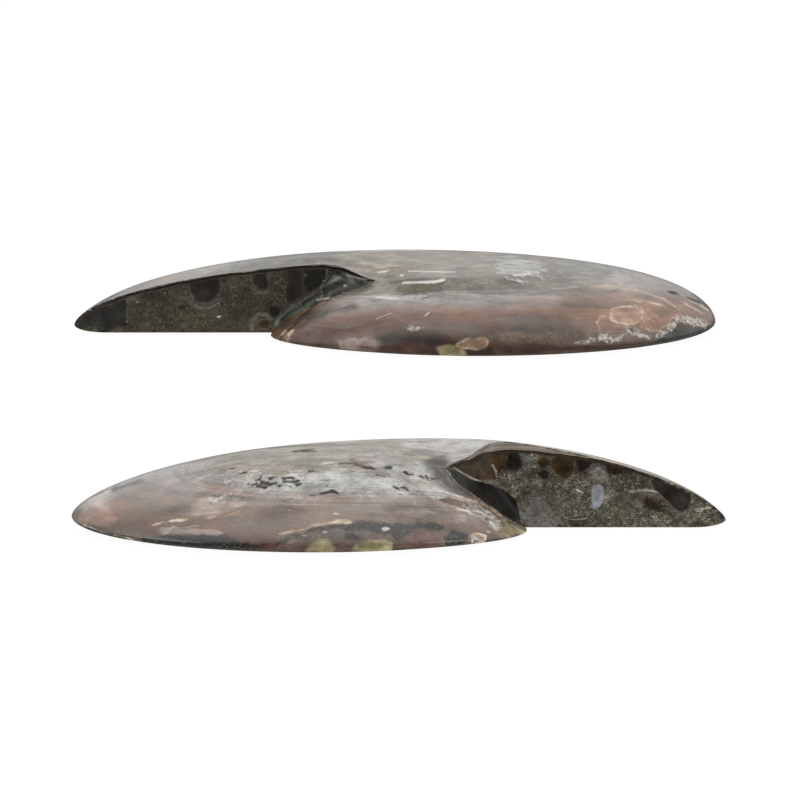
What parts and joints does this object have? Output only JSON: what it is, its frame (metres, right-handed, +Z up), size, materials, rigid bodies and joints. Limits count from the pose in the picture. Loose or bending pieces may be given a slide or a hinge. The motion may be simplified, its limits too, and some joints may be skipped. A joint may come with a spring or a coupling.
{
  "type": "pair of polished ammonites",
  "caption": "Split and polished fossil ammonite, laid out as mirrored spiral domes on their flat cut faces, each ending in a ground mouth face.",
  "frame": {"origin": "middle of the pair in plan, on the surface that both cut faces lie on", "axes": "+Z up out of the cut faces, +Y from the front half to the rear half, +X to the right with the mouths facing the viewer"},
  "size_m": [0.1232, 0.4004, 0.0148],
  "materials": {
    "polished_fossil_rear": "polished fossil shell and stone filling, grey over the coil and brown on the flank",
    "polished_fossil_front": "polished fossil shell and stone filling, grey over the coil and brown on the flank"
  },
  "bodies": {
    "root": {"ammonite_half_rear": "polished_fossil_rear", "ammonite_half_front": "polished_fossil_front"}
  },
  "joints": []
}
